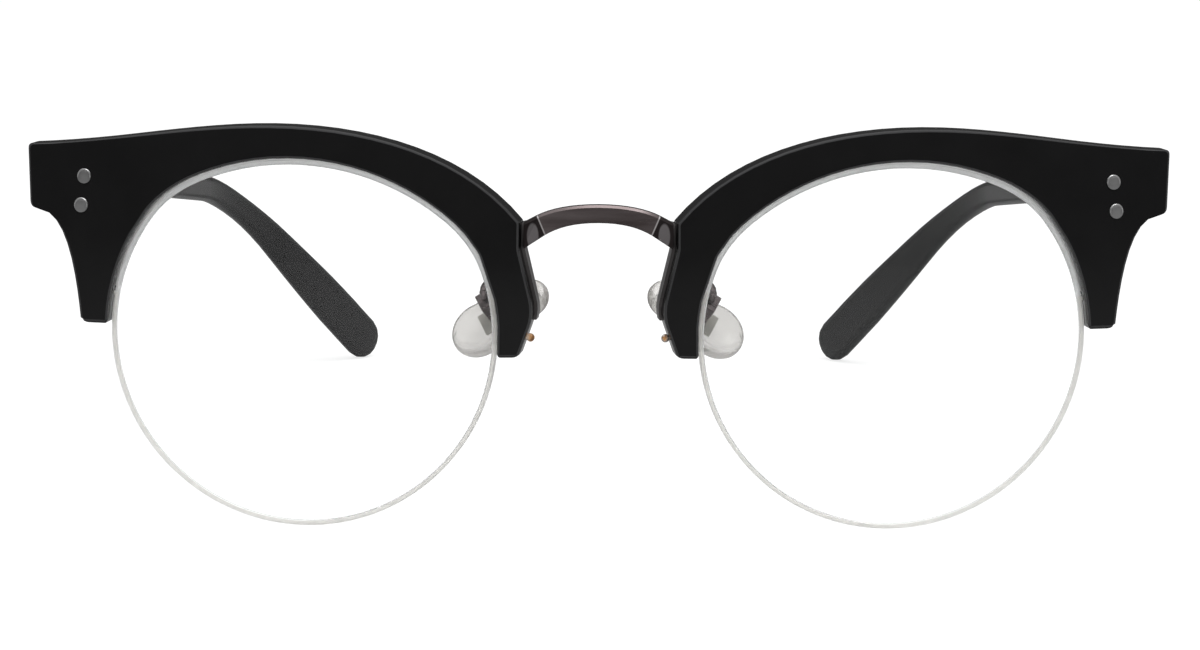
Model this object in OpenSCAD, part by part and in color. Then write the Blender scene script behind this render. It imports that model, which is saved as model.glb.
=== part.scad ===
// Browline glasses: two acetate brows on a metal saddle bridge, corded lenses and folding temples.
// The glasses stand on a table as they do when set down open: +Z is up, the lenses face -Y, and
// the temples run to +Y. Left and right are the wearer's, so the left side lies at +X.
// Each side is drawn once, at +X, and mirrored.

/* [Lenses] */
// Width of each lens
lens_w = 48.6; // [46:0.1:51]
// Height of each lens
lens_h = 45.95; // [44:0.05:46.8]
// Radius of the flatter top of the lens
lens_top_r = 30.8; // [29:0.2:34]
// How far the top's centre lies towards the temple
lens_top_shift = 1.3; // [0:0.1:2]
// Thickness of the lens
lens_t = 1.6; // [1.4:0.1:2]
// Depth of the lens's front behind the brow's front
lens_inset = 1.2; // [1:0.1:1.4]
// Depth of the groove round the lens's edge
lens_groove = 0.62; // [0.5:0.01:0.8]
// Diameter of the nylon cord and thickness of the nylon liner
cord_d = 0.6; // [0.5:0.05:0.7]
// Diameter of the bead that ends the cord
cord_bead_d = 1.06; // [0.9:0.02:1.3]
// How far the liner is held in the brow
liner_grip = 0.75; // [0.5:0.05:0.9]

/* [Front] */
// Distance between the two lenses
lens_gap = 25; // [23:0.5:28]
// Turn of each side of the front, back from the bridge, in degrees
wrap = 6; // [4:0.5:8]
// Radius of the front's curve across each lens
curve_r = 160; // [140:5:200]
// Thickness of the brows, front to back
brow_t = 4; // [3.6:0.1:4.5]
// Height of the brow above the top of the lens
brow_w = 4.3; // [3.6:0.1:5]
// Rounding of the brow's edges
edge_r = 0.35; // [0.2:0.05:0.5]
// Gap between the lens's edge and the brow
rim_gap = 0.25; // [0.2:0.05:0.35]
// How far the end piece reaches past the lens
end_reach = 11.1; // [10.5:0.1:12.5]
// Height of the end piece
end_h = 7.7; // [7.2:0.1:8.4]
// Height of the end piece's top above the top of the lens
end_rise = 1.35; // [0.8:0.05:2]
// Slope of the end piece's back against the wrapped front, in degrees
end_turn = 10; // [6:0.5:12]
// Width of the leg on the temple side of the lens, at its foot
outer_leg_w = 3.4; // [3:0.1:4.2]
// Height of that leg's foot above the middle of the lens
outer_leg_v = 0.9; // [0:0.1:2]
// Drop of the nasal leg's foot below the middle of the lens
nose_leg_v = 2.4; // [1.8:0.1:2.6]
// Width of the nasal leg where it is widest
nose_leg_w = 4.75; // [4:0.05:5]

/* [Bridge] */
// Height of the bridge bar at its middle
bridge_h = 2.25; // [1.6:0.05:2.6]
// Thickness of the bridge bar, front to back
bridge_t = 1.9; // [1.5:0.1:2.4]
// Top of the bridge above the middle of the lens
bridge_v = 16.65; // [15.5:0.05:17.2]
// How far the bar stands forward of the brows' inner ends
bridge_proud = 1.3; // [0.8:0.1:2]
// Half the width of the bar's front, between its creases
bridge_half = 7.6; // [7:0.1:8]
// Thickness of the metal strip that joins the bridge to a brow
strip_t = 0.4; // [0.35:0.05:0.6]

/* [Hinges] */
// Number of knuckles in a hinge
knuckles = 5; // [3:2:7]
// Radius of a knuckle
knuckle_r = 1.45; // [1.3:0.05:1.6]
// Height of the whole hinge barrel
barrel_h = 6.6; // [6:0.1:7]
// Gap between two knuckles
knuckle_gap = 0.06; // [0.04:0.01:0.1]
// Radius of the hinge screw
pin_r = 0.6; // [0.5:0.05:0.7]
// Running clearance round the hinge screw and the pad screws
run_gap = 0.03; // [0.02:0.01:0.06]
// Thickness of the hinge leaves
leaf_t = 0.8; // [0.6:0.05:1]
// Diameter of the round rivets
rivet_d = 1.85; // [1.6:0.05:2]
// Distance between the rivets of a pair
rivet_gap = 3.6; // [3.2:0.1:4]

/* [Temples] */
// Length of a temple, along its bend
temple_len = 152.3; // [144:0.1:158]
// Height of a temple at its front
temple_h = 7; // [6.4:0.1:7.4]
// Thickness of a temple at its front
temple_t = 3.8; // [3.4:0.1:4.2]
// Height of a temple where it is slimmest, over the ear
waist_h = 4; // [3.6:0.1:5]
// Thickness of a temple there
waist_t = 2.5; // [2.3:0.1:3.2]
// Height of the paddle at its end
paddle_h = 6.9; // [6:0.1:8]
// Distance from the front to where the bend starts
bend_at = 94.5; // [86:0.5:100]
// Length of the bend
bend_len = 28; // [22:1:36]
// Downward slope of the straight part, in degrees
slope_front = 6.8; // [5:0.1:7.5]
// Downward slope of the ear part
slope_ear = 41.5; // [36:0.1:43]
// Inward turn of the straight part
turn_front = 4.6; // [3:0.1:6]
// Inward turn of the ear part
turn_ear = 39.8; // [30:0.1:42]
// Radius of the wire core
core_r = 0.7; // [0.5:0.05:0.8]

/* [Nose pads] */
// Length of a pad
pad_len = 13.8; // [12:0.1:15]
// Width of a pad at its broad end
pad_w = 7.8; // [7:0.1:8.6]
// Width of a pad at its narrow end
pad_tip_w = 5.4; // [4.6:0.1:6.4]
// Thickness of a pad
pad_t = 2.5; // [2.3:0.1:3]
// Tilt of the pad's length from level, in degrees
pad_tilt = 33; // [25:1:42]
// Turn of the pad's face to the back
pad_turn = 42; // [34:1:50]
// Diameter of the pad arm's wire
arm_d = 1.1; // [0.9:0.05:1.3]
// Radius of the pad screw
pad_pin_r = 0.45; // [0.35:0.05:0.5]

/* [Hidden] */
$fn = 48;
fit_gap = 0.02;
lens_r = lens_w / 2;
eye = [lens_gap / 2 + lens_r, lens_r];
hub = eye + [3.5, 8];
top_c = [eye.x + lens_top_shift, lens_h - lens_top_r];
top_blend = 1;
bow = curve_r - sqrt(curve_r * curve_r - eye.x * eye.x);
curve_n = curve_r - bow;
end_u = eye.x + lens_r + end_reach;
end_v = lens_h + end_rise;
rivet_u = end_u - 8.5;
rivet_v = [end_v - 3.8, end_v - 3.8 - rivet_gap];
rivet_lean = 0.3;

// The end piece's back is a flat face through the rivets, where the temple butts
butt_turn = wrap + end_turn;
butt_n = curved(rivet_u, rivet_v[0], brow_t) + 0.3;
butt_at = to_world(rivet_u, butt_n, 0);
butt_normal = [-sin(butt_turn), cos(butt_turn), 0];

// Plain helpers
function unit(v) = v / norm(v);
function mix(a, b, t) = a + (b - a) * t;
function clamp(x, lo, hi) = min(max(x, lo), hi);
function smooth(x) = let (t = clamp(x, 0, 1)) t * t * (3 - 2 * t);
function bezier(p, n) = [for (i = [0:n]) let (t = i / n, s = 1 - t)
    s * s * s * p[0] + 3 * s * s * t * p[1] + 3 * s * t * t * p[2] + t * t * t * p[3]];
// Rounds the corner at p between its neighbours a and b
function corner(a, p, b, r, n = 3) =
    let (da = unit(a - p), db = unit(b - p), reach = r / tan(acos(da * db) / 2), s = p + da * reach, e = p + db * reach)
    [for (i = [0:n]) let (t = i / n) (1 - t) * (1 - t) * s + 2 * t * (1 - t) * p + t * t * e];
function smooth_min(a, b, k) = let (h = max(k - abs(a - b), 0) / k) min(a, b) - h * h * k / 4;

// Where a curved surface lies: the spherical front, or any depth behind it
function curved(u, v, depth = 0) =
    let (r = curve_r - depth, du = u - eye.x, dv = v - eye.y) curve_n - sqrt(r * r - du * du - dv * dv);
// The brow's back follows the curve, then runs flat behind the end piece
function brow_back(u, v) =
    let (flat = butt_n + (u - rivet_u) * tan(end_turn), share = smooth((u - rivet_u + 7) / 4) * smooth((v - end_low.y + 6) / 4))
    mix(curved(u, v, brow_t), flat, share);
function to_world(u, n, v) = [u * cos(wrap) - n * sin(wrap), u * sin(wrap) + n * cos(wrap), v];

// Lens outline: a round lower part that meets a flatter top, drawn d larger
function hit(c, r, dir) = let (q = hub - c, b = q * dir) -b + sqrt(b * b - q * q + r * r);
function rim(a, d = 0) =
    let (dir = [cos(a), sin(a)])
    hub + dir * smooth_min(hit(eye, lens_r + d, dir), hit(top_c, lens_top_r + d, dir), top_blend);
// The point of the rim that faces p: level with it on the legs, towards the hub above them, and
// turning evenly with the height below the end piece
function rim_at(p, d) =
    p.y < hub.y
    ? [eye.x + sign(p.x - eye.x) * sqrt(pow(lens_r + d, 2) - pow(p.y - eye.y, 2)), p.y]
    : rim(p.x > hub.x && p.y < end_low.y
        ? atan2(end_low.y - hub.y, end_low.x - hub.x) * (p.y - hub.y) / (end_low.y - hub.y)
        : atan2(p.y - hub.y, p.x - hub.x), d);
function ring(d, a0 = 0, a1 = 360, step = 4) =
    let (n = ceil((a1 - a0) / step)) [for (i = [0:n]) rim(mix(a0, a1, i / n), d)];

// Outer outline of the brow, from the nasal foot over the top to the temple side
inner_u = lens_gap / 2;
toe = [inner_u - 2.8, eye.y - nose_leg_v];
nose_wide = [inner_u - nose_leg_w, eye.y + 3.1];
nose_in = [inner_u - 2.85, eye.y + 11];
notch = [nose_in.x, eye.y + 14.3];
brow_top = [top_c.x + 2.4, lens_h + brow_w];
end_top = [end_u, end_v];
end_low = [end_u - 0.45, end_v - end_h - 0.15];
flank = end_low + [-1.3, -0.25];
leg_out = [eye.x + lens_r + 0.2 + outer_leg_w, eye.y + outer_leg_v];
brow_outline = concat(
    corner(toe + [2, 0], toe, nose_wide, 0.6, 3),
    corner(toe, nose_wide, nose_in, 6, 5),
    corner(nose_wide, nose_in, notch, 3, 3),
    corner(nose_in, notch, notch + [6.7, 8.2], 0.5, 3),
    [for (i = [1:14]) bezier([notch, notch + [6.7, 8.2], brow_top - [12.5, 0], brow_top], 14)[i]],
    [for (i = [1:11]) bezier([brow_top, brow_top + [10.3, 0], end_top + [-11.5, 0.6], end_top], 12)[i]],
    corner(end_top + [-11.5, 0.6], end_top, end_low, 0.6, 4),
    corner(end_top, end_low, flank, 0.9, 4),
    [for (i = [1:9]) bezier([flank, flank + [-3.9, -0.4], leg_out + [0.75, 5.2], leg_out + [0.3, 0.6]], 9)[i]],
    corner(leg_out + [0.3, 3], leg_out, leg_out - [3, 0], 0.5, 3));

// Faces of a loft through equal rings, closed at both ends by strips
function loft_faces(n, k) = concat(
    [for (i = [0:n - 2], j = [0:k - 1], h = [0, 1]) let (j2 = (j + 1) % k, a = i * k, b = a + k)
        h == 0 ? [a + j, a + j2, b + j2] : [a + j, b + j2, b + j]],
    [for (e = [0, 1], j = [0:k / 2 - 2], h = [0, 1])
        let (a = e * (n - 1) * k, p = a + j, q = a + j + 1, r = a + k - 2 - j, s = a + k - 1 - j,
             f = h == 0 ? [p, r, q] : [p, s, r])
        e == 0 ? f : [f[0], f[2], f[1]]]);
module loft(rings) {
    polyhedron([for (r = rings, p = r) p], loft_faces(len(rings), len(rings[0])), convexity = 8);
}
// Round wire along a path
function wire_rings(path, r, k = 8) =
    let (last = len(path) - 1)
    [for (i = [0:last])
        let (d = unit(path[min(i + 1, last)] - path[max(i - 1, 0)]), x = unit(cross(d, [0.1, 0.2, 1])), y = cross(d, x))
        [for (j = [0:k - 1]) path[i] + r * (cos(360 * j / k) * x - sin(360 * j / k) * y)]];

// One ring of the brow: across it from lens to edge, with rounded edges
function brow_ring(o, inset) =
    let (p = rim_at(o, rim_gap), w = norm(o - p), e = (o - p) / w, c = edge_r, m = c * (1 - sqrt(0.5)),
         front = [[0, c], [m, m], [c, 0], [w / 3, 0], [2 * w / 3, 0], [w - c, 0], [w - m, m], [w, c]])
    concat(
        [for (q = front) let (s = p + e * clamp(q[0], inset, w - inset))
            to_world(s.x, curved(s.x, s.y) + max(q[1], inset), s.y)],
        [for (i = [7:-1:0]) let (q = front[i], s = p + e * clamp(q[0], inset, w - inset))
            to_world(s.x, brow_back(s.x, s.y) - max(q[1], inset), s.y)]);
function foot_inset(o, foot) = max(0, edge_r - (o.y - foot));

// A metal strip of L section on the nose side and the back of the nasal leg
function strip_ring(o) =
    let (p = rim_at(o, rim_gap), e = unit(o - p), g = fit_gap, t = strip_t,
         at = [[g + t, 2, 0], [g + t, g + t, 1], [-2.1, g + t, 1], [-2.1, g, 1], [g, g, 1], [g, 2, 0]])
    [for (q = at) let (s = o + e * q[0])
        to_world(s.x, q[2] == 0 ? curved(s.x, s.y) + q[1] : brow_back(s.x, s.y) + q[1], s.y)];

// Temple path: two headings that turn from the straight part to the ear part
butt_gap = 0.15;
temple_inset = 0.2;
temple_x = to_world(end_u, butt_n + (end_u - rivet_u) * tan(end_turn), 0).x - temple_inset - temple_t / 2;
temple_start = [temple_x, butt_at.y + (temple_x - butt_at.x) * tan(butt_turn) + butt_gap / cos(butt_turn), end_v - end_h / 2];
function heading(s) =
    let (t = clamp((s - bend_at) / bend_len, 0, 1), a = mix(turn_front, turn_ear, t), b = mix(slope_front, slope_ear, t))
    [-sin(a) * cos(b), cos(a) * cos(b), -sin(b)];
function walk(a, b, n = 6) = let (h = (b - a) / n) [for (i = [0:n - 1]) heading(a + (i + 0.5) * h) * h];
function total(v, i = 0, sum = [0, 0, 0]) = i == len(v) ? sum : total(v, i + 1, sum + v[i]);
function temple_at(s) = temple_start + (s <= bend_at ? heading(0) * s
    : heading(0) * bend_at + total(walk(bend_at, s, 12)));
paddle_from = bend_at + bend_len / 2;
function temple_height(s) =
    s < paddle_from ? mix(temple_h, waist_h, smooth(s / bend_at / 0.7))
    : mix(waist_h, paddle_h, smooth((s - paddle_from) / (temple_len - paddle_from - 10)));
function temple_thick(s) = mix(temple_t, waist_t, smooth(s / bend_at));
tip_len = paddle_h / 2;
function tip_scale(s) = let (x = (s - temple_len + tip_len) / tip_len) x <= 0 ? 1 : sqrt(max(1 - x * x, 0.02));
corner_steps = 3;
function round_rect(w, h, r) = [for (q = [0:3], i = [0:corner_steps])
    let (a = 90 * (q + i / corner_steps), sx = q == 0 || q == 3 ? 1 : -1, sy = q < 2 ? 1 : -1)
    [sx * (w / 2 - r) + r * cos(a), sy * (h / 2 - r) + r * sin(a)]];
function temple_ring(s) =
    let (d = heading(s), side = unit([d.y, -d.x, 0]), up = cross(side, d), k = tip_scale(s), c = temple_at(s),
         w = temple_thick(s) * (0.35 + 0.65 * k), h = temple_height(s) * k)
    [for (q = round_rect(w, h, min(1.3, w * 0.42, h * 0.42))) let (p = c + side * q[0] + up * q[1])
        s > 0 ? p : p + d * (((temple_start - p) * butt_normal) / (d * butt_normal))];
temple_s = concat([for (i = [0:8]) bend_at * i / 9],
    [for (i = [0:17]) mix(bend_at, temple_len - tip_len, i / 17)],
    [for (a = [25, 45, 62, 76, 86]) temple_len - tip_len + tip_len * sin(a)]);
temple_rings = [for (s = temple_s) temple_ring(s)];
tip_low = min([for (r = temple_rings, p = r) p.z]);
tip_back = max([for (r = temple_rings, p = r) p.y]);

// Hinge: an upright axis inboard of the temple, close behind the end piece
hinge_clear = knuckle_r + 0.15;
temple_side = [cos(turn_front), sin(turn_front), 0];
temple_dir = [-sin(turn_front), cos(turn_front), 0];
hinge_in = temple_t / 2 + hinge_clear;
hinge_back = (knuckle_r + 0.1 - butt_gap + hinge_in * (temple_side * butt_normal)) / (temple_dir * butt_normal);
hinge_at = temple_start - hinge_in * temple_side + hinge_back * temple_dir - [0, 0, 0.5];
hinge_x = (hinge_at - butt_at) * [cos(butt_turn), sin(butt_turn), 0];
knuckle_h = (barrel_h - (knuckles - 1) * knuckle_gap) / knuckles;
function knuckle_z(i) = i * (knuckle_h + knuckle_gap) - barrel_h / 2;

// Nose pad: its frame has X along the width, Y along the length to the narrow end, Z to the nose
pad_axis_at = [inner_u + 0.9, 8.9, eye.y + 2.8];
pad_drop = 1.6;
pad_axis = [-sin(pad_tilt) * sin(pad_turn), -cos(pad_turn), -cos(pad_tilt) * sin(pad_turn)];

// The origin lies under the middle of the whole object, on the table
front_y = -bridge_proud;
mid_y = (front_y + tip_back) / 2;
lift = -min(0, tip_low);
echo(mid_y = mid_y, lift = lift, tip_low = tip_low, tip_back = tip_back);
echo(hinge = hinge_at + [0, -mid_y, lift]);
echo(pad = [pad_axis_at.x, pad_axis_at.y - mid_y, pad_axis_at.z + lift], axis = pad_axis);

module left() { translate([0, -mid_y, lift]) children(); }
module right() { translate([0, -mid_y, lift]) mirror([1, 0, 0]) children(); }
// Drawing frame of one lens: Y runs back, square to the wrapped front
module wrapped() { rotate([0, 0, wrap]) children(); }
// A point on the curved front, with Z running back into the frame, square to the curve
module on_curve(u, v, depth = 0) {
    d = unit([eye.x - u, sqrt(curve_r * curve_r - pow(u - eye.x, 2) - pow(v - eye.y, 2)), eye.y - v]);
    translate([u, curve_n - (curve_r - depth) * d.y, v] + [depth * d.x, 0, depth * d.z])
        rotate([0, acos(d.z), atan2(d.y, d.x)]) children();
}
// A shell of the front's curve, t thick about a depth
module shell(depth, t) {
    translate([eye.x, curve_n, eye.y]) difference() {
        sphere(curve_r - depth + t / 2, $fn = 180);
        sphere(curve_r - depth - t / 2, $fn = 180);
    }
}
module plate(points) {
    translate([0, 20, 0]) rotate([90, 0, 0]) linear_extrude(40) polygon(points);
}
lens_mid = lens_inset + lens_t / 2;
// A band that follows the lens edge between two offsets
module rim_band(d0, d1, t, a0 = 0, a1 = 360) {
    intersection() {
        shell(lens_mid, t);
        plate(a1 - a0 == 360 ? ring(d1) : concat(ring(d1, a0, a1), [for (i = [len(ring(d0, a0, a1)) - 1:-1:0]) ring(d0, a0, a1)[i]]));
    }
}
liner_a = [-7, 184];

// Where the cord lies: a circle in the lower groove, about the middle of the lens
cord_ring_r = lens_r - cord_d / 2;
cord_n = curve_n - sqrt(pow(curve_r - lens_mid, 2) - cord_ring_r * cord_ring_r);
cord_a = [-193, 11];
cord_end = 0.9;
module cord_frame() { wrapped() translate([eye.x, cord_n, eye.y]) rotate([90, 0, 0]) children(); }
// Level run of cord into a leg, or the hole for it
module cord_run(a, len, r) {
    cord_frame() translate([cord_ring_r * cos(a), cord_ring_r * sin(a), 0])
        rotate([0, (cos(a) > 0 ? 1 : -1) * 90, 0]) cylinder(h = len, r = r, $fn = 24);
}
cord_tail = 4.45;

module brow() color([0.1, 0.1, 0.11]) difference() {
    loft([for (o = brow_outline) brow_ring(o, foot_inset(o, o.x < eye.x ? toe.y : leg_out.y))]);
    wrapped() rim_band(-2, rim_gap + liner_grip + fit_gap, cord_d + 2 * fit_gap, liner_a[0] - 1, liner_a[1] + 1);
    for (a = cord_a) cord_run(a, 2.4, cord_d / 2 + fit_gap);
    cord_run(180, 8, cord_d / 2 + fit_gap);
    front_leaf(1);
    butt_frame() rivet_holes(rivet_d / 2 + fit_gap / 2);
    wrapped() for (v = foot_screw_v) on_curve(foot_screw_u, v, brow_t) translate([0, 0, -2.9]) cylinder(h = 5, r = 0.5, $fn = 24);
}
// Drawing frame on the end piece's flat back: X runs outward along it, Y runs back
module butt_frame() { translate(butt_at) rotate([0, 0, butt_turn]) children(); }
module hinge_frame() { translate(hinge_at) children(); }
// The two rivets, or their holes, from y0 back to y1 in the butt frame
module rivet_pair(r, y0, y1) {
    for (i = [0, 1]) translate([i * rivet_lean, y0, rivet_v[i]]) rotate([-90, 0, 0]) cylinder(h = y1 - y0, r = r, $fn = 32);
}
module rivet_holes(r) { rivet_pair(r, -20, 20); }
foot_screw_u = inner_u - 1.55;
foot_screw_v = [eye.y + 3.2, eye.y + 12];

module front_rivets() color([0.55, 0.55, 0.56]) {
    intersection() {
        butt_frame() rivet_pair(rivet_d / 2, -brow_t - 4, -leaf_t);
        wrapped() translate([eye.x, curve_n, eye.y]) sphere(curve_r + 0.08, $fn = 180);
    }
    butt_frame() rivet_pair(rivet_d / 3, -leaf_t, 0);
}
leaf_lo = [-1.9, -leaf_t, rivet_v[1] - 1.25];
leaf_hi = [hinge_x + 0.9, 0, hinge_at.z + barrel_h / 2];
// The leaf in the end piece's back, or its pocket, which runs out behind by extra
module front_leaf(extra = 0) { butt_frame() translate(leaf_lo) cube(leaf_hi - leaf_lo + [0, extra, 0]); }
module knuckle(i) {
    translate([0, 0, knuckle_z(i)]) cylinder(h = knuckle_h, r = knuckle_r);
}
module front_hinge() color([0.5, 0.5, 0.5]) difference() {
    union() {
        front_leaf();
        hinge_frame() for (i = [0:2:knuckles - 1]) {
            knuckle(i);
            rotate([0, 0, butt_turn]) translate([-knuckle_r, -knuckle_r - 0.2, knuckle_z(i)])
                cube([knuckle_r + 0.4, knuckle_r + 0.2, knuckle_h]);
        }
    }
    butt_frame() rivet_holes(rivet_d / 3 + fit_gap / 2);
    hinge_bore();
}
module hinge_bore() { hinge_frame() cylinder(h = barrel_h * 2, r = pin_r + run_gap, center = true); }
module hinge_screw() color([0.6, 0.6, 0.6]) hinge_frame() {
    translate([0, 0, -barrel_h / 2]) cylinder(h = barrel_h + 0.01, r = pin_r);
    translate([0, 0, barrel_h / 2 + 0.01]) difference() {
        cylinder(h = 0.6, r1 = knuckle_r - 0.2, r2 = knuckle_r - 0.4);
        translate([-knuckle_r, -0.15, 0.3]) cube([2 * knuckle_r, 0.3, 1]);
    }
}

module temple_frame() {
    translate(temple_start) rotate([-slope_front, 0, turn_front]) children();
}
temple_rivet_s = [5.4, 9.6];
leaf_long = 10.6;
leaf_start = 0.2;
leaf_tall = 5.2;
// The leaf in the temple's inner face, or its pocket, which runs out past that face by extra
module temple_leaf(extra = 0) {
    translate([-temple_t / 2 - extra, leaf_start, -leaf_tall / 2]) cube([leaf_t + extra, leaf_long, leaf_tall]);
}
module temple_rivet_pair(r, x0, x1) {
    for (s = temple_rivet_s) translate([x0, s, 0]) rotate([0, 90, 0]) cylinder(h = x1 - x0, r = r, $fn = 32);
}
leaf_face = leaf_t - temple_t / 2;
module temple() color([0.12, 0.12, 0.13]) difference() {
    loft(temple_rings);
    temple_frame() {
        temple_leaf(1);
        temple_rivet_pair(rivet_d / 2 + fit_gap / 2, -temple_t, temple_t);
    }
    loft(wire_rings(core_path, core_r + 0.05));
}
module temple_hinge() color([0.5, 0.5, 0.5]) difference() {
    union() {
        temple_frame() temple_leaf();
        hinge_frame() for (i = [1:2:knuckles - 2]) {
            knuckle(i);
            rotate([0, 0, turn_front]) translate([0, -0.4, knuckle_z(i)]) cube([hinge_clear + 0.45, 1.7, knuckle_h]);
        }
    }
    hinge_bore();
    temple_frame() temple_rivet_pair(rivet_d / 3 + fit_gap / 2, -temple_t, temple_t);
}
module temple_rivets() color([0.55, 0.55, 0.56]) temple_frame() {
    temple_rivet_pair(rivet_d / 3, -temple_t / 2, leaf_face);
    temple_rivet_pair(rivet_d / 2, leaf_face, temple_t / 2 + 0.06);
}
core_s = concat([17, 45, 70], [for (i = [0:11]) mix(bend_at, temple_len - 11, i / 11)]);
core_path = [for (s = core_s) temple_at(s)];
module temple_core() color([0.7, 0.7, 0.7]) loft(wire_rings(core_path, core_r));

module lens() color([0.9, 0.95, 0.95, 0.4]) wrapped() difference() {
    intersection() {
        shell(lens_mid, lens_t);
        plate(ring(0));
    }
    difference() {
        shell(lens_mid, cord_d + 4 * fit_gap);
        plate(ring(-lens_groove));
    }
}
module lens_liner() color([0.9, 0.9, 0.88]) wrapped()
    rim_band(-lens_groove + 0.05, rim_gap + liner_grip, cord_d, liner_a[0], liner_a[1]);
module lens_cord() color([0.92, 0.88, 0.82]) {
    cord_frame() rotate([0, 0, cord_a[0] - cord_end])
        rotate_extrude(angle = cord_a[1] - cord_a[0] + 2 * cord_end, $fn = 120) translate([cord_ring_r, 0]) circle(cord_d / 2, $fn = 24);
    for (a = cord_a) cord_run(a, 2.2, cord_d / 2 - 0.01);
    cord_run(180, cord_tail, cord_d / 2 - 0.01);
    cord_frame() translate([-cord_ring_r - cord_tail, 0, 0]) sphere(cord_bead_d / 2, $fn = 32);
}

module bridge_foot() color([0.6, 0.58, 0.57]) difference() {
    loft([for (o = brow_outline) if (o.x < eye.x && o.y > eye.y + 2 && o.y < eye.y + 14.2) strip_ring(o)]);
    wrapped() for (v = foot_screw_v) on_curve(foot_screw_u, v, brow_t) translate([0, 0, -2]) cylinder(h = 5, r = 0.5, $fn = 24);
}
module foot_screws() color([0.6, 0.6, 0.6]) wrapped() for (v = foot_screw_v) on_curve(foot_screw_u, v, brow_t) {
    translate([0, 0, -2.8]) cylinder(h = 2.8 + strip_t + 0.06, r = 0.48, $fn = 24);
    translate([0, 0, strip_t + 0.06]) difference() {
        cylinder(h = 0.4, r1 = 0.85, r2 = 0.7, $fn = 24);
        translate([-1, -0.12, 0.2]) cube([2, 0.24, 1]);
    }
}

// Ring of four rounded corners for the bridge
function bevel_ring(q, c) = [for (i = [0:3], h = [0, 1])
    let (p = q[i], a = q[(i + 3) % 4], b = q[(i + 1) % 4]) h == 0 ? p + c * unit(a - p) : p + c * unit(b - p)];
bridge_top = eye.y + bridge_v;
crease = [[bridge_half, bridge_top - 1.45], [bridge_half - 1, bridge_top - 3.85]];
bar_top = bezier([[0, bridge_top], [3.5, bridge_top], [6, bridge_top - 0.6], crease[0]], 8);
bar_low = bezier([[0, bridge_top - bridge_h], [3, bridge_top - bridge_h], [5, bridge_top - bridge_h - 0.6], crease[1]], 8);
bar_y = -bridge_proud;
foot_face_u = nose_in.x - strip_t - 0.06;
function bar_ring(t, b, y) = [[t.x, y + bridge_t, t.y], [b.x, y + 0.2 + bridge_t, b.y], [b.x, y + 0.2, b.y], [t.x, y, t.y]];
bridge_half_rings = concat(
    [for (i = [0:8]) bar_ring(bar_top[i], bar_low[i], bar_y + 0.6 * pow(i / 8, 2))],
    [[to_world(foot_face_u, brow_t - 1.6, notch.y), to_world(foot_face_u, brow_t - 1.6, eye.y + 11.05),
      to_world(foot_face_u, -0.9, eye.y + 11.05), to_world(foot_face_u, -0.9, notch.y)]]);
module bridge() color([0.43, 0.4, 0.4]) translate([0, -mid_y, lift])
    loft([for (i = [-9:9]) bevel_ring([for (p = bridge_half_rings[abs(i)]) [sign(i) * p.x, p.y, p.z]], 0.3)]);

module pad_frame() {
    translate(pad_axis_at) rotate([0, pad_tilt, 0]) rotate([180 + pad_turn, 0, 0]) rotate([0, 0, 90]) children();
}
// Pad outline: a broad round end and a narrow one, joined by their tangents
broad_r = pad_w / 2;
narrow_r = pad_tip_w / 2;
pad_span = pad_len - broad_r - narrow_r;
pad_switch = (broad_r - narrow_r) / pad_span;
function pad_outline(inset, z, k = 28) = [for (i = [0:k - 1]) let (a = -360 * (i + 0.5) / k - 90, far = sin(a) > pad_switch)
    [(far ? narrow_r - inset : broad_r - inset) * cos(a),
     (far ? pad_span / 2 + 0.6 : -pad_span / 2 + 0.6) + (far ? narrow_r - inset : broad_r - inset) * sin(a), z]];
pad_profile = [[1.1, 0], [0.4, 0.14], [0.06, 0.4], [0.06, 0.56], [0.4, 0.76], [1.1, 0.92], [2.2, 1]];
module pad() color([0.86, 0.86, 0.85, 0.8]) pad_frame() difference() {
    loft([for (q = pad_profile) pad_outline(q[0], pad_drop + pad_t * q[1])]);
    insert_body(fit_gap);
}
insert_z = pad_drop + 0.75;
module insert_body(g) {
    translate([-1.7 - g, -2.6 - g, insert_z - g]) cube([3.4 + 2 * g, 5.2 + 2 * g, 0.5 + 2 * g]);
    translate([-0.6 - g, -0.8 - g, pad_drop - 1]) cube([1.2 + 2 * g, 1.6 + 2 * g, insert_z - pad_drop + 1.2]);
}
module pad_insert() color([0.5, 0.5, 0.47]) pad_frame() difference() {
    union() {
        insert_body(0);
        rotate([0, 90, 0]) cylinder(h = 1.2, r = 0.8, center = true, $fn = 32);
        translate([-0.6, -0.8, 0]) cube([1.2, 1.6, pad_drop]);
    }
    rotate([0, 90, 0]) cylinder(h = 3, r = pad_pin_r + run_gap, center = true, $fn = 32);
}
box_w = 2.7;
module pad_box() color([0.45, 0.44, 0.44]) pad_frame() difference() {
    translate([-box_w / 2, -1.2, -1.75]) cube([box_w, 2.4, 2.75]);
    translate([-0.66, -2, -0.95]) cube([1.32, 4, 3]);
    rotate([0, 90, 0]) cylinder(h = 5, r = pad_pin_r + 0.02, center = true, $fn = 32);
}
module pad_screw() color([0.6, 0.6, 0.6]) pad_frame() rotate([0, 90, 0]) {
    cylinder(h = box_w + 0.02, r = pad_pin_r, center = true, $fn = 32);
    translate([0, 0, -box_w / 2 - 0.41]) cylinder(h = 0.4, r1 = 0.62, r2 = 0.75, $fn = 32);
}
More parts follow.
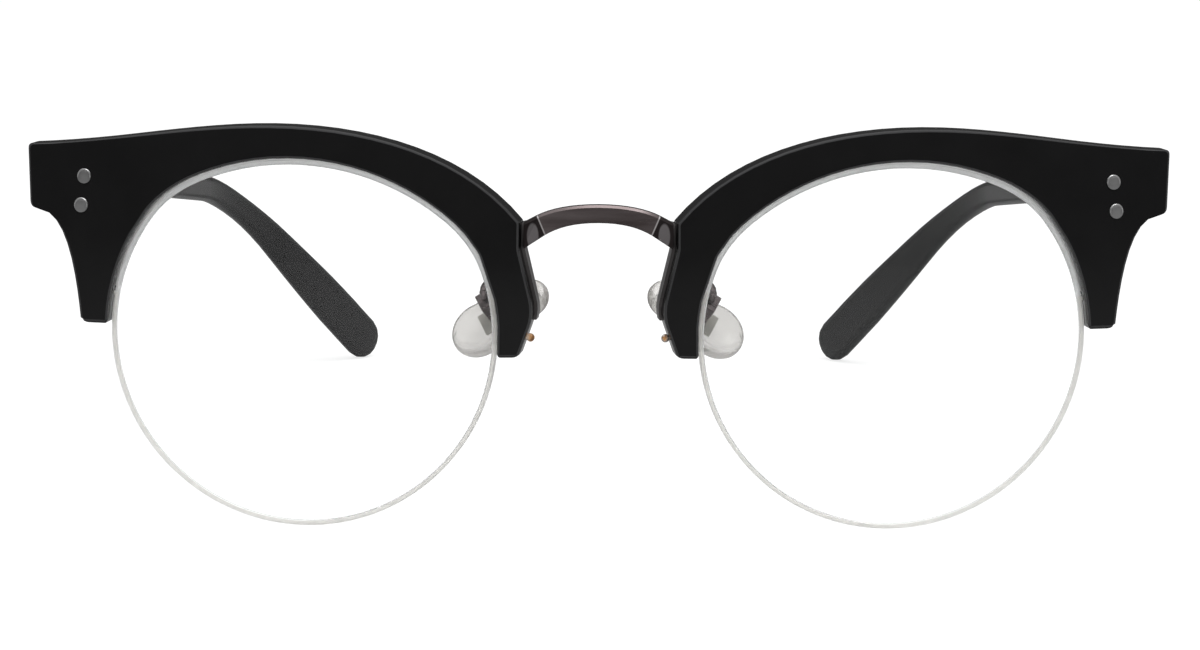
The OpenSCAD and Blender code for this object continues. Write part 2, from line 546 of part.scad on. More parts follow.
// The pad arm leaves the strip's back flange and curves down to the pad box
arm_root = to_world(inner_u - 1.6, brow_back(inner_u - 1.6, eye.y + 7.6) + strip_t + 0.15, eye.y + 7.6);
box_up = [sin(pad_tilt) * cos(pad_turn), -sin(pad_turn), cos(pad_tilt) * cos(pad_turn)];
arm_tip = pad_axis_at + box_up * 1.85;
arm_path = bezier([arm_root, arm_root + [0, 4.2, 0.8], arm_tip + box_up * 3.4, arm_tip], 14);
module pad_arm() color([0.45, 0.44, 0.44]) loft(wire_rings(arm_path, arm_d / 2));

bridge();
left() brow();  // left_brow
left() front_rivets();  // left_front_rivets
left() front_hinge();  // left_front_hinge
left() hinge_screw();  // left_hinge_screw
left() bridge_foot();  // left_bridge_foot
left() foot_screws();  // left_foot_screws
left() pad_arm();  // left_pad_arm
left() pad_box();  // left_pad_box
left() pad_screw();  // left_pad_screw
left() pad();  // left_pad
left() pad_insert();  // left_pad_insert
left() lens();  // left_lens
left() lens_liner();  // left_lens_liner
left() lens_cord();  // left_lens_cord
left() temple();  // left_temple
left() temple_hinge();  // left_temple_hinge
left() temple_rivets();  // left_temple_rivets
left() temple_core();  // left_temple_core
right() brow();  // right_brow
right() front_rivets();  // right_front_rivets
right() front_hinge();  // right_front_hinge
right() hinge_screw();  // right_hinge_screw
right() bridge_foot();  // right_bridge_foot
right() foot_screws();  // right_foot_screws
right() pad_arm();  // right_pad_arm
right() pad_box();  // right_pad_box
right() pad_screw();  // right_pad_screw
right() pad();  // right_pad
right() pad_insert();  // right_pad_insert
right() lens();  // right_lens
right() lens_liner();  // right_lens_liner
right() lens_cord();  // right_lens_cord
right() temple();  // right_temple
right() temple_hinge();  // right_temple_hinge
right() temple_rivets();  // right_temple_rivets
right() temple_core();  // right_temple_core
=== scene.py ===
"""Browline glasses on a pale studio floor: materials, lenses, pads, rivet faces, light and camera."""

import math

import bpy
from mathutils import Matrix, Vector

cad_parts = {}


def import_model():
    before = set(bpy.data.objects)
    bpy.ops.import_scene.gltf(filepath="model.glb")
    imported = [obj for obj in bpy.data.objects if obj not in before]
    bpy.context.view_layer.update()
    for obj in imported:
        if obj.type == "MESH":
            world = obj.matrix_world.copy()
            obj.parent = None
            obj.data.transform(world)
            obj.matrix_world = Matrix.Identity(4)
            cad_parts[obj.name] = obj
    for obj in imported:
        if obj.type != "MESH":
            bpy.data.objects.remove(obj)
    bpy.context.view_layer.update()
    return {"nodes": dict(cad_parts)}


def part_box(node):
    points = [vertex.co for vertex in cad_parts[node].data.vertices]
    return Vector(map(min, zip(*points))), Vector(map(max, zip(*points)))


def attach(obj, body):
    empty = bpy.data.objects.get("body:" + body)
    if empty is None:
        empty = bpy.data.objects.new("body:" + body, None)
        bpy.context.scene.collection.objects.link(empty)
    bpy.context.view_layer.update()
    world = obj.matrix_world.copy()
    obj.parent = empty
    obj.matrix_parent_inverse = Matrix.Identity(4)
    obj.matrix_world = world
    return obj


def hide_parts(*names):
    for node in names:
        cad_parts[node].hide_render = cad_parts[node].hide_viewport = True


MM = 0.001
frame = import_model()
nodes = frame["nodes"]

# Sizes of the solids, in millimetres, as in their source
LENS_R = 24.3
LENS_H = 45.95
EYE = (12.5 + LENS_R, LENS_R)
HUB = (EYE[0] + 3.5, EYE[1] + 8)
TOP_R = 30.8
TOP = (EYE[0] + 1.3, LENS_H - TOP_R)
CORNER_BLEND = 1.0
WRAP = math.radians(6)
CURVE_R = 160.0
CURVE_N = math.sqrt(CURVE_R**2 - EYE[0] ** 2)
LENS_MID = 2.0
LENS_T = 1.6
GROOVE = 0.62
CORD_D = 0.6
CORD_SLACK = 0.03
BRIDGE_PROUD = 1.3
BROW_T = 4.0
BUTT_BACK = 0.3
END_U = EYE[0] + LENS_R + 11.1
END_V = LENS_H + 1.35
END_TURN = math.radians(10)
RIVET_D = 1.85
RIVET_U = END_U - 8.5
RIVET_V = (END_V - 3.8, END_V - 7.4)
RIVET_LEAN = 0.3
PAD_AT = (13.4, 8.9, EYE[1] + 2.8)
PAD_TILT = math.radians(33)
PAD_TURN = math.radians(42)
PAD_LEN, PAD_W, PAD_TIP_W, PAD_T = 13.8, 7.8, 5.4, 2.5
PAD_DROP = 1.6
PAD_SHIFT = 0.6
front_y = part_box("bridge")[0].y / MM + BRIDGE_PROUD

# Details that only the scene has, in millimetres
# Where the bridge's painted crease highlight and the painted reflection oval on each end plate lie
CREASE_TOP, CREASE_LOW = (7.6, 39.5), (6.6, 37.1)
OVAL_AT, OVAL_HALF = (8.1, 37.0), (0.72, 1.6)
SEALED_TIP = (8.35, 8.75)
LENS_BEVEL = (0.12, 0.1)

# Points this near in metres are welded, and edges sharper than this may be rounded
WELD = 2e-6
ROUNDED_FROM = math.radians(40)

# The camera, in millimetres: how far away, how wide its view is at the front, and the x and z it looks at
CAMERA_AWAY, VIEW_W = 400, 148.3
CAMERA_AT = (0.25, 25.96)
CAMERA_TILT, CAMERA_ROLL = math.radians(8), 0.00615
SENSOR_W = 36

# The floor: half its side in metres, its own grey, and how much it glows where it is seen
FLOOR_HALF, FLOOR_GREY, FLOOR_GLOW = 4.0, 0.36, 0.76

SIDES = (("left", 1), ("right", -1))


def to_scene(p, side):
    """A point in the front's own millimetres, x y z, in metres in the row frame."""
    return Vector((side * p[0], p[1] + front_y, p[2])) * MM


def to_row(u, n, v, side):
    """A point of one side's wrapped front: u across, n back, v up."""
    x = u * math.cos(WRAP) - n * math.sin(WRAP)
    y = u * math.sin(WRAP) + n * math.cos(WRAP)
    return to_scene((x, y, v), side)


def curved(u, v, depth):
    """How far back the front's curve lies at (u, v), depth behind its face."""
    return CURVE_N - math.sqrt((CURVE_R - depth) ** 2 - (u - EYE[0]) ** 2 - (v - EYE[1]) ** 2)


def hit(centre, r, dx, dz):
    """How far from the hub, along (dx, dz), a circle about centre is met."""
    qx, qz = HUB[0] - centre[0], HUB[1] - centre[1]
    b = qx * dx + qz * dz
    return -b + math.sqrt(b * b - qx * qx - qz * qz + r * r)


def rim(a):
    """The lens outline at angle a about the hub: the nearer of two circles, their corners blended."""
    dx, dz = math.cos(a), math.sin(a)
    p, q = hit(EYE, LENS_R, dx, dz), hit(TOP, TOP_R, dx, dz)
    h = max(CORNER_BLEND - abs(p - q), 0.0)
    reach = min(p, q) - h * h / (4 * CORNER_BLEND)
    return HUB[0] + dx * reach, HUB[1] + dz * reach


# Helpers for meshes


class Points(list):
    """Vertices of a mesh being made."""

    def add(self, point):
        self.append(tuple(point))
        return len(self) - 1


def skin(loops, first, last=None):
    """Faces from a first middle point over closed loops to a last one, or to a flat end."""
    n = len(loops[0])
    faces = []
    for i in range(n):
        j = (i + 1) % n
        faces.append((first, loops[0][j], loops[0][i]))
        if last is not None:
            faces.append((last, loops[-1][i], loops[-1][j]))
        for a, b in zip(loops, loops[1:]):
            faces.append((a[i], a[j], b[j], b[i]))
    if last is None:
        faces.append(tuple(loops[-1]))
    return faces


def piece(name, points, faces, side, body, material, crisp):
    """A piece of one side; edges sharper than crisp degrees stay crisp."""
    mesh = bpy.data.meshes.new(name)
    if side > 0:
        faces = [tuple(reversed(f)) for f in faces]
    mesh.from_pydata(points, [], faces)
    mesh.update()
    obj = bpy.data.objects.new(name, mesh)
    bpy.context.scene.collection.objects.link(obj)
    for p in mesh.polygons:
        p.use_smooth = True
    mesh.set_sharp_from_angle(angle=math.radians(crisp))
    mesh.materials.append(material)
    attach(obj, body)
    return obj


def second_material(obj, material, chosen):
    """Give the faces that chosen picks, by their vertices' numbers, a second material."""
    obj.data.materials.append(material)
    for p in obj.data.polygons:
        p.material_index = int(chosen(p.vertices))


# Materials


class Nodes:
    """Short calls for the nodes used in materials and in the world."""

    def __init__(self, tree):
        self.tree = tree

    def new(self, kind, **settings):
        node = self.tree.nodes.new("ShaderNode" + kind)
        for key, value in settings.items():
            setattr(node, key, value)
        return node

    def link(self, a, b):
        self.tree.links.new(a, b)

    def feed(self, socket, value):
        """Link a node's output to the socket, or set the socket's own value."""
        if hasattr(value, "node"):
            self.link(value, socket)
        else:
            socket.default_value = value

    def maths(self, operation, a, b=0.0):
        node = self.new("Math", operation=operation)
        self.feed(node.inputs[0], a)
        self.feed(node.inputs[1], b)
        return node.outputs[0]

    def vector(self, operation, a, b=(0, 0, 0)):
        node = self.new("VectorMath", operation=operation)
        self.feed(node.inputs[0], a)
        self.feed(node.inputs["Scale"] if operation == "SCALE" else node.inputs[1], b)
        return node.outputs["Value" if operation == "DOT_PRODUCT" else "Vector"]

    def split(self, vector):
        node = self.new("SeparateXYZ")
        self.link(vector, node.inputs[0])
        return node.outputs

    def span(self, value, lo, hi, start=0.3, end=0.7, curve="LINEAR"):
        node = self.new("MapRange", interpolation_type=curve)
        for key, number in (("From Min", start), ("From Max", end), ("To Min", lo), ("To Max", hi)):
            node.inputs[key].default_value = number
        self.link(value, node.inputs["Value"])
        return node.outputs["Result"]

    def mix(self, factor, a, b):
        node = self.new("Mix", data_type="RGBA")
        self.feed(node.inputs["Factor"], factor)
        for key, value in (("A", a), ("B", b)):
            socket = next(s for s in node.inputs if s.name == key and s.type == "RGBA")
            self.feed(socket, value if hasattr(value, "node") else (*value, 1))
        return next(s for s in node.outputs if s.type == "RGBA")

    def seen(self):
        """One for what the camera sees, directly or through glass, and nought for light and gloss."""
        path = self.new("LightPath").outputs
        return self.maths("MAXIMUM", path["Is Camera Ray"], path["Is Transmission Ray"])


class Shader(Nodes):
    """A Principled material with a few procedural nodes."""

    def __init__(self, name, colour, roughness, **sockets):
        self.mat = bpy.data.materials.new(name)
        self.mat.use_nodes = True
        super().__init__(self.mat.node_tree)
        self.bsdf = self.tree.nodes["Principled BSDF"]
        self.surface = self.tree.nodes["Material Output"].inputs["Surface"]
        self.bsdf.inputs["Base Color"].default_value = (*colour, 1)
        self.bsdf.inputs["Roughness"].default_value = roughness
        for key, value in sockets.items():
            self.bsdf.inputs[key.replace("_", " ")].default_value = value
        self.coords = self.new("TexCoord").outputs["Object"]

    def noise(self, scale, detail, stretch=(1, 1, 1)):
        mapping = self.new("Mapping")
        mapping.inputs["Scale"].default_value = stretch
        tex = self.new("TexNoise")
        tex.inputs["Scale"].default_value = scale
        tex.inputs["Detail"].default_value = detail
        self.link(self.coords, mapping.inputs["Vector"])
        self.link(mapping.outputs["Vector"], tex.inputs["Vector"])
        return tex.outputs["Fac"]

    def clouded(self, scale, detail, lo, hi):
        """A colour that drifts between lo and hi."""
        return self.mix(self.span(self.noise(scale, detail), 0, 1), lo, hi)

    def colour(self, value):
        self.link(value, self.bsdf.inputs["Base Color"])

    def roughness(self, value):
        self.link(value, self.bsdf.inputs["Roughness"])

    def domed(self, centre):
        """A normal and a mask for the front, whose base curve is centred here.

        The normal is the curve's own where a face lies along it; the mask is the front's rounded edge."""
        geometry = self.new("NewGeometry").outputs
        out = self.vector("NORMALIZE", self.vector("SUBTRACT", self.coords, centre))
        facing = self.vector("DOT_PRODUCT", geometry["True Normal"], out)
        along = self.span(facing, 0, 1, 0.98, 0.99)
        edge = self.maths("MULTIPLY", self.span(facing, 1, 0, 0.96, 0.98), self.span(facing, 0, 1, 0.7, 0.8))
        turn = self.vector("SCALE", self.vector("SUBTRACT", out, geometry["Normal"]), along)
        return self.vector("NORMALIZE", self.vector("ADD", geometry["Normal"], turn)), edge

    def bump(self, height, strength, distance, normal=None):
        node = self.new("Bump")
        if normal:
            self.link(normal, node.inputs["Normal"])
        node.inputs["Strength"].default_value = strength
        node.inputs["Distance"].default_value = distance
        self.link(height, node.inputs["Height"])
        self.link(node.outputs["Normal"], self.bsdf.inputs["Normal"])

    def lets_lamps_through(self):
        """Light from lamps reaches what is behind the glass."""
        mix = self.new("MixShader")
        self.link(self.new("LightPath").outputs["Is Shadow Ray"], mix.inputs["Fac"])
        self.link(self.bsdf.outputs["BSDF"], mix.inputs[1])
        self.link(self.new("BsdfTransparent").outputs["BSDF"], mix.inputs[2])
        self.link(mix.outputs["Shader"], self.surface)


def acetate(name, lo, hi, rough, specular, dome=None):
    """Polished acetate: nearly black and faintly clouded.

    With dome, the centre of the front's base curve, the front face shades as one true curve, has the fine
    ripple of hand polishing and is painted a little lighter along its rounded edge, a painted highlight."""
    s = Shader(name, hi, rough[0], Specular_IOR_Level=specular)
    body = s.clouded(140, 3, lo, hi)
    if dome:
        normal, edge = s.domed(dome)
        # Painted highlight: the front's rounded edge is painted lighter than the body
        body = s.mix(edge, body, (0.07, 0.07, 0.072))
        s.bump(s.noise(180, 1), 0.02, 0.00005, normal)
    s.colour(body)
    s.roughness(s.span(s.noise(420, 2), *rough))
    return s.mat


def brushed(name, lo, hi, rough, stretch=(1, 1, 1), scale=900):
    """Metal with a fine grain, drawn out along an axis by stretch, and a slow drift of colour."""
    s = Shader(name, hi, rough[0], Metallic=1.0)
    grain = s.noise(scale, 8, stretch)
    s.colour(s.clouded(170, 3, lo, hi))
    s.roughness(s.span(grain, *rough))
    s.bump(grain, 0.25, 0.00002)
    return s.mat


def bridge_metal():
    """Gunmetal with fine drawn streaks; the end plates painted darker as a painted reflection of dark
    surroundings, each with a painted reflection in a lighter oval, and a painted highlight along the crease.
    """
    s = Shader("gunmetal_bridge", (0.15, 0.13, 0.13), 0.28, Metallic=1.0)
    place = s.split(s.coords)
    across, up = s.maths("ABSOLUTE", place["X"]), place["Z"]
    (top_x, top_z), (low_x, low_z) = CREASE_TOP, CREASE_LOW
    lean = (top_x - low_x) / (top_z - low_z)
    line = s.maths("ADD", s.maths("MULTIPLY", s.maths("SUBTRACT", up, low_z * MM), lean), low_x * MM)
    past = s.maths("SUBTRACT", across, line)
    # Past the crease, the end plates are painted darker: a painted reflection of dark surroundings
    plate = s.span(past, 0, 1, 0.0, 0.1 * MM)
    ridge_middle, ridge_half, ridge_fade = -0.07 * MM, 0.03 * MM, 0.12 * MM
    from_ridge = s.maths("ABSOLUTE", s.maths("SUBTRACT", past, ridge_middle))
    # A thin painted highlight along the crease
    crease_highlight = s.span(from_ridge, 1, 0, ridge_half, ridge_fade)
    ox = s.maths("DIVIDE", s.maths("SUBTRACT", across, OVAL_AT[0] * MM), OVAL_HALF[0] * MM)
    oz = s.maths("DIVIDE", s.maths("SUBTRACT", up, OVAL_AT[1] * MM), OVAL_HALF[1] * MM)
    # A lighter oval on each end plate: a painted reflection
    oval_reflection = s.span(s.maths("ADD", s.maths("MULTIPLY", ox, ox), s.maths("MULTIPLY", oz, oz)), 1, 0, 0.8, 1.15)
    streaks = s.noise(420, 8, (0.1, 1, 1))
    metal = s.mix(s.span(streaks, 0, 1, 0.35, 0.65), (0.075, 0.058, 0.057), (0.21, 0.18, 0.18))
    metal = s.mix(plate, metal, (0.04, 0.033, 0.033))
    metal = s.mix(s.maths("MULTIPLY", plate, oval_reflection), metal, (0.27, 0.25, 0.255))
    s.colour(s.mix(crease_highlight, metal, (0.75, 0.72, 0.72)))
    s.roughness(s.span(streaks, 0.22, 0.36))
    s.bump(streaks, 0.25, 0.00002)
    return s.mat


def clear_lens():
    """Clear lens with a very slight drift of tint; its low index stands for a coating against reflections."""
    s = Shader("clear_lens", (0.985, 0.992, 0.99), 0.0, Transmission_Weight=1.0, IOR=1.34)
    s.colour(s.clouded(60, 2, (0.984, 0.991, 0.989), (0.99, 0.993, 0.992)))
    s.lets_lamps_through()
    return s.mat


def ground_edge():
    """The lens's edge, ground and left frosted."""
    s = Shader("ground_lens_edge", (0.95, 0.95, 0.95), 0.5, Transmission_Weight=0.85, IOR=1.4)
    s.colour(s.clouded(900, 4, (0.9, 0.905, 0.905), (0.98, 0.985, 0.985)))
    s.roughness(s.span(s.noise(1500, 4), 0.42, 0.6))
    s.lets_lamps_through()
    return s.mat


def nylon(name, colour, rough, through, tip=None):
    """Clear nylon; tip is the colour of its heat-sealed end, which lies nearest the nose."""
    s = Shader(name, colour, rough, Transmission_Weight=through, IOR=1.52)
    body = s.clouded(300, 3, [0.94 * c for c in colour], colour)
    if tip:
        across = s.maths("ABSOLUTE", s.split(s.coords)["X"])
        body = s.mix(s.span(across, 1, 0, SEALED_TIP[0] * MM, SEALED_TIP[1] * MM), body, tip)
    s.colour(body)
    s.bump(s.noise(900, 2), 0.1, 0.00003)
    s.lets_lamps_through()
    return s.mat


def silicone():
    """Milky silicone, painted darker where it is seen edge on, as painted shade."""
    s = Shader("pad_silicone", (0.8, 0.79, 0.77), 0.2, Transmission_Weight=0.72, IOR=1.41)
    milk = s.clouded(120, 2, (0.67, 0.655, 0.635), (0.76, 0.745, 0.725))
    # Painted shade: faces seen edge on are painted darker
    weight = s.new("LayerWeight")
    weight.inputs["Blend"].default_value = 0.35
    s.colour(s.mix(s.span(weight.outputs["Facing"], 0, 1, 0.4, 0.85), milk, (0.22, 0.21, 0.2)))
    s.roughness(s.span(s.noise(300, 3), 0.08, 0.16))
    s.bump(s.noise(240, 2), 0.04, 0.00004)
    s.lets_lamps_through()
    return s.mat


DARK, DARKER = (0.012, 0.0118, 0.0121), (0.0088, 0.0087, 0.009)
ACETATE = {}
for side_name, side in SIDES:
    dome_centre = to_row(EYE[0], CURVE_N, EYE[1], side)
    ACETATE[side_name] = acetate("black_acetate_" + side_name, DARKER, DARK, (0.1, 0.15), 0.27, dome_centre)
TEMPLE = acetate("temple_acetate", (0.009, 0.009, 0.0095), (0.012, 0.0118, 0.0126), (0.3, 0.315), 0.22)
GUNMETAL = brushed("gunmetal", (0.085, 0.07, 0.07), (0.2, 0.172, 0.172), (0.22, 0.36), (0.12, 1, 1), 800)
BRIDGE = bridge_metal()
STRIP = brushed("gunmetal_strip", (0.1, 0.092, 0.092), (0.17, 0.16, 0.16), (0.25, 0.4), (1, 1, 0.2), 700)
RIVET = brushed("pewter_rivet", (0.38, 0.38, 0.38), (0.46, 0.46, 0.46), (0.32, 0.48))
RIVET_RIM = brushed("rivet_rim", (0.6, 0.6, 0.6), (0.7, 0.7, 0.7), (0.22, 0.34))
HINGE = brushed("hinge_steel", (0.38, 0.38, 0.375), (0.48, 0.48, 0.475), (0.26, 0.4), (1, 1, 0.2), 800)
SCREW = brushed("screw_steel", (0.45, 0.45, 0.45), (0.58, 0.58, 0.58), (0.2, 0.32))
CORE = brushed("core_wire", (0.5, 0.5, 0.49), (0.6, 0.6, 0.58), (0.2, 0.3), (1, 0.1, 1), 800)
INSERT = brushed("insert_plate", (0.2, 0.195, 0.16), (0.3, 0.29, 0.25), (0.3, 0.45), scale=800)
LENS = clear_lens()
LINER = nylon("liner_nylon", (0.99, 0.99, 0.985), 0.6, 0.85)
CORD = nylon("cord_nylon", (0.92, 0.9, 0.86), 0.3, 0.6, (0.62, 0.33, 0.13))
EDGE = ground_edge()
SILICONE = silicone()

# Each kind of CAD node: its material, and how sharp in degrees an edge stays crisp
CAD_MATERIALS = {
    "bridge": (BRIDGE, 14),
    "left_brow": (ACETATE["left"], 35),
    "right_brow": (ACETATE["right"], 35),
    "front_rivets": (RIVET, 30),
    "front_hinge": (HINGE, 30),
    "hinge_screw": (SCREW, 30),
    "bridge_foot": (STRIP, 35),
    "foot_screws": (SCREW, 30),
    "pad_arm": (GUNMETAL, 60),
    "pad_box": (GUNMETAL, 30),
    "pad_screw": (SCREW, 30),
    "pad": (SILICONE, 60),
    "pad_insert": (INSERT, 30),
    "lens": (LENS, 30),
    "lens_liner": (LINER, 40),
    "lens_cord": (CORD, 50),
    "temple": (TEMPLE, 35),
    "temple_hinge": (HINGE, 30),
    "temple_rivets": (RIVET, 30),
    "temple_core": (CORE, 60),
}
# How wide each kind's edges are rounded, in millimetres
BEVELLED = {
    "front_hinge": 0.06,
    "temple_hinge": 0.06,
    "pad_box": 0.12,
    "pad_insert": 0.08,
    "hinge_screw": 0.04,
    "foot_screws": 0.05,
    "bridge_foot": 0.06,
    "front_rivets": 0.09,
    "temple_rivets": 0.09,
}
# Large faces keep their own shading and leave the turn to the rounded edges
FLAT_FIRST = {"brow", "temple", "bridge", "bridge_foot", "front_hinge", "temple_hinge"}


def weld_and_smooth(degrees):
    """A node group that joins a solid's faces and keeps edges sharper than this angle crisp."""
    g = bpy.data.node_groups.new("smooth_%d" % degrees, "GeometryNodeTree")
    for way in ("INPUT", "OUTPUT"):
        g.interface.new_socket("Geometry", in_out=way, socket_type="NodeSocketGeometry")
    start, end = g.nodes.new("NodeGroupInput"), g.nodes.new("NodeGroupOutput")
    merge = g.nodes.new("GeometryNodeMergeByDistance")
    merge.inputs["Distance"].default_value = WELD
    faces = g.nodes.new("GeometryNodeSetShadeSmooth")
    faces.domain = "FACE"
    edges = g.nodes.new("GeometryNodeSetShadeSmooth")
    edges.domain = "EDGE"
    edges.inputs["Shade Smooth"].default_value = False
    angle = g.nodes.new("GeometryNodeInputMeshEdgeAngle")
    more = g.nodes.new("FunctionNodeCompare")
    more.data_type, more.operation = "FLOAT", "GREATER_THAN"
    more.inputs[1].default_value = math.radians(degrees)
    g.links.new(start.outputs[0], merge.inputs["Geometry"])
    g.links.new(merge.outputs["Geometry"], faces.inputs["Geometry"])
    g.links.new(faces.outputs["Geometry"], edges.inputs["Geometry"])
    g.links.new(angle.outputs["Unsigned Angle"], more.inputs[0])
    g.links.new(more.outputs["Result"], edges.inputs["Selection"])
    g.links.new(edges.outputs["Geometry"], end.inputs[0])
    return g


CRISP = sorted({degrees for _, degrees in CAD_MATERIALS.values()})
GROUPS = {degrees: weld_and_smooth(degrees) for degrees in CRISP}


def dress(name, obj):
    """Give a CAD node its material, rounded edges and shading."""
    kind = name.split("_", 1)[1] if name.startswith(("left_", "right_")) else name
    material, degrees = CAD_MATERIALS[name if name in CAD_MATERIALS else kind]
    obj.data.materials.clear()
    obj.data.materials.append(material)
    if "custom_normal" in obj.data.attributes:
        obj.data.attributes.remove(obj.data.attributes["custom_normal"])
    if kind in BEVELLED:
        weld = obj.modifiers.new("weld", "WELD")
        weld.merge_threshold = WELD
        bevel = obj.modifiers.new("edges", "BEVEL")
        bevel.width = BEVELLED[kind] * MM
        bevel.segments = 2
        bevel.limit_method = "ANGLE"
        bevel.angle_limit = ROUNDED_FROM
    smooth = obj.modifiers.new("smooth", "NODES")
    smooth.node_group = GROUPS[degrees]
    if kind in FLAT_FIRST:
        even = obj.modifiers.new("even", "WEIGHTED_NORMAL")
        even.mode = "FACE_AREA_WITH_ANGLE"
        even.keep_sharp = True


for node_name, node_obj in nodes.items():
    dress(node_name, node_obj)


def build_lens(side_name, side):
    """A lens: two spherical faces, and a ground edge with small bevels and the groove for the cord."""
    steps, rings = 240, 28
    points = Points()
    edge = [rim(2 * math.pi * i / steps) for i in range(steps)]

    def loop(share, inset, depth):
        """A loop at a share of the way from the middle to the edge, or set in from the edge."""
        numbers = []
        for u, v in edge:
            du, dv = u - EYE[0], v - EYE[1]
            r = math.hypot(du, dv)
            k = share * (r - inset) / r
            u, v = EYE[0] + du * k, EYE[1] + dv * k
            numbers.append(points.add(to_row(u, curved(u, v, depth), v, side)))
        return numbers

    def middle(depth):
        return points.add(to_row(EYE[0], curved(EYE[0], EYE[1], depth), EYE[1], side))

    front, back = LENS_MID - LENS_T / 2, LENS_MID + LENS_T / 2
    bevel_in, bevel_back = LENS_BEVEL
    half = CORD_D / 2 + CORD_SLACK
    over_edge = [(bevel_in, front), (0.0, front + bevel_back)]
    for inset, part in ((0.0, 1.0), (GROOVE * 0.8, 1.0), (GROOVE, 0.5)):
        over_edge.append((inset, LENS_MID - half * part))
    for inset, part in ((GROOVE, 0.5), (GROOVE * 0.8, 1.0), (0.0, 1.0)):
        over_edge.append((inset, LENS_MID + half * part))
    over_edge += [(0.0, back - bevel_back), (bevel_in, back)]

    shares = [k / rings for k in range(1, rings)]
    first = middle(front)
    loops = [loop(share, 0.0, front) for share in shares]
    loops += [loop(1.0, inset, depth) for inset, depth in over_edge]
    loops += [loop(share, 0.0, back) for share in reversed(shares)]
    faces = skin(loops, first, middle(back))
    obj = piece("clear_lens_" + side_name, points, faces, side, "front", LENS, 35)
    edge_loops = loops[len(shares) + 1 : len(shares) + len(over_edge) - 1]
    ground = {i for numbers in edge_loops for i in numbers}
    second_material(obj, EDGE, lambda vertices: any(i in ground for i in vertices))
    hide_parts(side_name + "_lens")


def pad_outline(inset, steps):
    """The pad's outline drawn inset smaller: a broad round end and a narrow one, joined by tangents."""
    broad, narrow = PAD_W / 2, PAD_TIP_W / 2
    span = PAD_LEN - broad - narrow
    switch = (broad - narrow) / span
    outline = []
    for k in range(steps):
        a = -2 * math.pi * (k + 0.5) / steps - math.pi / 2
        far = math.sin(a) > switch
        r = (narrow if far else broad) - inset
        y = (span / 2 if far else -span / 2) + PAD_SHIFT
        outline.append((r * math.cos(a), y + r * math.sin(a)))
    return outline


def build_pad(side_name, side):
    """A nose pad: soft, rounded all over, a little domed on the side that meets the nose."""
    steps = 72
    place = (
        Matrix.Translation(PAD_AT)
        @ Matrix.Rotation(PAD_TILT, 4, "Y")
        @ Matrix.Rotation(math.pi + PAD_TURN, 4, "X")
        @ Matrix.Rotation(math.pi / 2, 4, "Z")
    )
    # How far in each ring lies, and how high as a share of the thickness, from the back round to the face
    profile = [(2.45, 0.0), (1.7, 0.0), (0.95, 0.01), (0.6, 0.05)]
    profile += [(0.42 - 0.42 * math.sin(t), 0.45 - 0.37 * math.cos(t)) for t in (0.5, 0.9, 1.3)]
    profile += [(0.0, 0.46), (0.05, 0.58), (0.22, 0.71), (0.52, 0.82)]
    profile += [(0.95, 0.9), (1.5, 0.955), (2.1, 0.985), (2.45, 0.995)]
    middle_y = 0.2
    points = Points()

    def add(x, y, share):
        return points.add(to_scene(place @ Vector((x, y, PAD_DROP + share * PAD_T)), side))

    loops = [[add(x, y, share) for x, y in pad_outline(inset, steps)] for inset, share in profile]
    faces = skin(loops, add(0, middle_y, 0.0), add(0, middle_y, 1.0))
    obj = piece("soft_pad_" + side_name, points, faces, side, side_name + "_pad", SILICONE, 80)
    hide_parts(side_name + "_pad")


def rivet_place(i):
    """The front end of a rivet and the way that it faces, in the front's own millimetres."""
    turn = WRAP + END_TURN
    depth = curved(RIVET_U, RIVET_V[0], BROW_T) + BUTT_BACK
    x = RIVET_U * math.cos(WRAP) - depth * math.sin(WRAP) + i * RIVET_LEAN * math.cos(turn)
    y = RIVET_U * math.sin(WRAP) + depth * math.cos(WRAP) + i * RIVET_LEAN * math.sin(turn)
    way = Vector((math.sin(turn), -math.cos(turn), 0))
    near, far = 0.0, 2 * BROW_T
    for _ in range(40):
        mid = (near + far) / 2
        px, py = x + way.x * mid, y + way.y * mid
        u = px * math.cos(WRAP) + py * math.sin(WRAP)
        n = py * math.cos(WRAP) - px * math.sin(WRAP)
        if n > curved(u, RIVET_V[i], 0):
            near = mid
        else:
            far = mid
    return Vector((x, y, RIVET_V[i])) + way * near, way


def build_rivet_faces(side_name, side):
    """On each rivet's front end, a shallow dome inside a raised ring."""
    steps, r = 40, RIVET_D / 2
    # Each ring's radius, and how far it stands out of the brow
    dome = [(0.3, 0.14), (0.5, 0.125), (0.62, 0.1), (0.68, 0.07), (0.71, 0.07)]
    ring = [(0.75, 0.115), (0.8, 0.135), (0.87, 0.12), (r, 0.06), (r, -0.1)]
    top_height = 0.155
    for i in (0, 1):
        place, way = rivet_place(i)
        across, up = Vector((-way.y, way.x, 0)), Vector((0, 0, 1))
        points = Points()

        def add(radius, a, height):
            p = place + way * height + (across * math.cos(a) + up * math.sin(a)) * radius
            return points.add(to_scene(p, side))

        loops = [[add(q, 2 * math.pi * k / steps, h) for k in range(steps)] for q, h in dome + ring]
        faces = skin(loops, add(0, 0, top_height))
        obj = piece("rivet_face_%s_%d" % (side_name, i), points, faces, side, "front", RIVET, 50)
        raised = {v for numbers in loops[len(dome) :] for v in numbers}
        second_material(obj, RIVET_RIM, lambda vertices: all(v in raised for v in vertices))


for side_name, side in SIDES:
    build_lens(side_name, side)
    build_pad(side_name, side)
    build_rivet_faces(side_name, side)


# Floor, light and camera


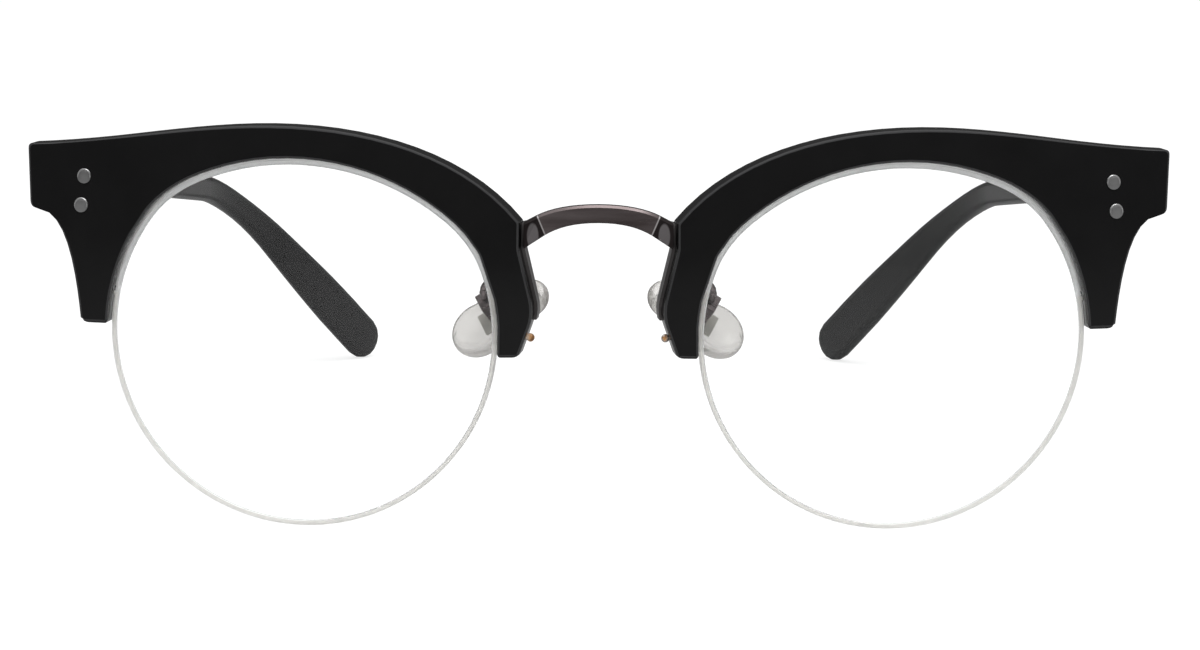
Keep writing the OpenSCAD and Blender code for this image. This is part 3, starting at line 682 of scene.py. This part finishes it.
def floor():
    """A pale floor that takes the object's shadow; part of its paleness is a glow that lights nothing."""
    mesh = bpy.data.meshes.new("floor")
    r = FLOOR_HALF
    mesh.from_pydata([(-r, -r, 0), (r, -r, 0), (r, r, 0), (-r, r, 0)], [], [(0, 1, 2, 3)])
    obj = bpy.data.objects.new("floor", mesh)
    bpy.context.scene.collection.objects.link(obj)
    s = Shader("pale_floor", [FLOOR_GREY] * 3, 0.9, Specular_IOR_Level=0.1)
    glow, add = s.new("Emission"), s.new("AddShader")
    s.link(s.maths("MULTIPLY", s.seen(), FLOOR_GLOW), glow.inputs["Strength"])
    s.link(s.bsdf.outputs["BSDF"], add.inputs[0])
    s.link(glow.outputs["Emission"], add.inputs[1])
    s.link(add.outputs["Shader"], s.surface)
    mesh.materials.append(s.mat)


def world():
    """White where it is seen; for light and gloss, pale above, dimmer behind and dim in front."""
    w = bpy.data.worlds.new("studio")
    bpy.context.scene.world = w
    w.use_nodes = True
    s = Nodes(w.node_tree)
    way = s.split(s.new("TexCoord").outputs["Generated"])
    front_to_back = s.span(way["Y"], 0.16, 0.42, -0.45, 0.15, "SMOOTHSTEP")
    dark_straight_behind = s.span(way["Y"], 1.0, 0.12, 0.75, 0.97, "SMOOTHSTEP")
    behind = s.maths("MULTIPLY", front_to_back, dark_straight_behind)
    above = s.span(way["Z"], 0.0, 0.9, 0.25, 0.75, "SMOOTHSTEP")
    level = s.maths("MAXIMUM", s.maths("MAXIMUM", behind, above), s.seen())
    background = w.node_tree.nodes["Background"]
    s.link(level, background.inputs["Strength"])
    background.inputs["Color"].default_value = (1, 1, 1, 1)


def lamp(name, place, target, size, power):
    """A square soft lamp at place, in metres, that faces target."""
    data = bpy.data.lights.new(name, "AREA")
    data.energy = power
    data.size = size
    obj = bpy.data.objects.new(name, data)
    obj.location = place
    obj.rotation_euler = (Vector(target) - Vector(place)).to_track_quat("-Z", "Y").to_euler()
    bpy.context.scene.collection.objects.link(obj)


def camera():
    """The photograph's viewpoint: from in front and a little above, turned very slightly about its axis."""
    target = Vector((CAMERA_AT[0] * MM, front_y * MM, CAMERA_AT[1] * MM))
    back = Vector((0, -math.cos(CAMERA_TILT), math.sin(CAMERA_TILT)))
    up = Vector((0, math.sin(CAMERA_TILT), math.cos(CAMERA_TILT)))
    across = Vector((1, 0, 0))
    cos, sin = math.cos(CAMERA_ROLL), math.sin(CAMERA_ROLL)
    axes = Matrix((across * cos + up * sin, up * cos - across * sin, back)).transposed().to_4x4()
    data = bpy.data.cameras.new("camera")
    data.sensor_width = SENSOR_W
    data.lens = SENSOR_W * CAMERA_AWAY / VIEW_W
    data.clip_start, data.clip_end = 0.01, 20
    obj = bpy.data.objects.new("camera", data)
    obj.matrix_world = Matrix.Translation(target + back * (CAMERA_AWAY * MM)) @ axes
    bpy.context.scene.collection.objects.link(obj)
    bpy.context.scene.camera = obj


floor()
world()
lamp("key", place=(0.1, -0.15, 0.8), target=(0, -0.03, 0.02), size=0.5, power=3.0)
camera()
bpy.context.scene.view_settings.view_transform = "Standard"
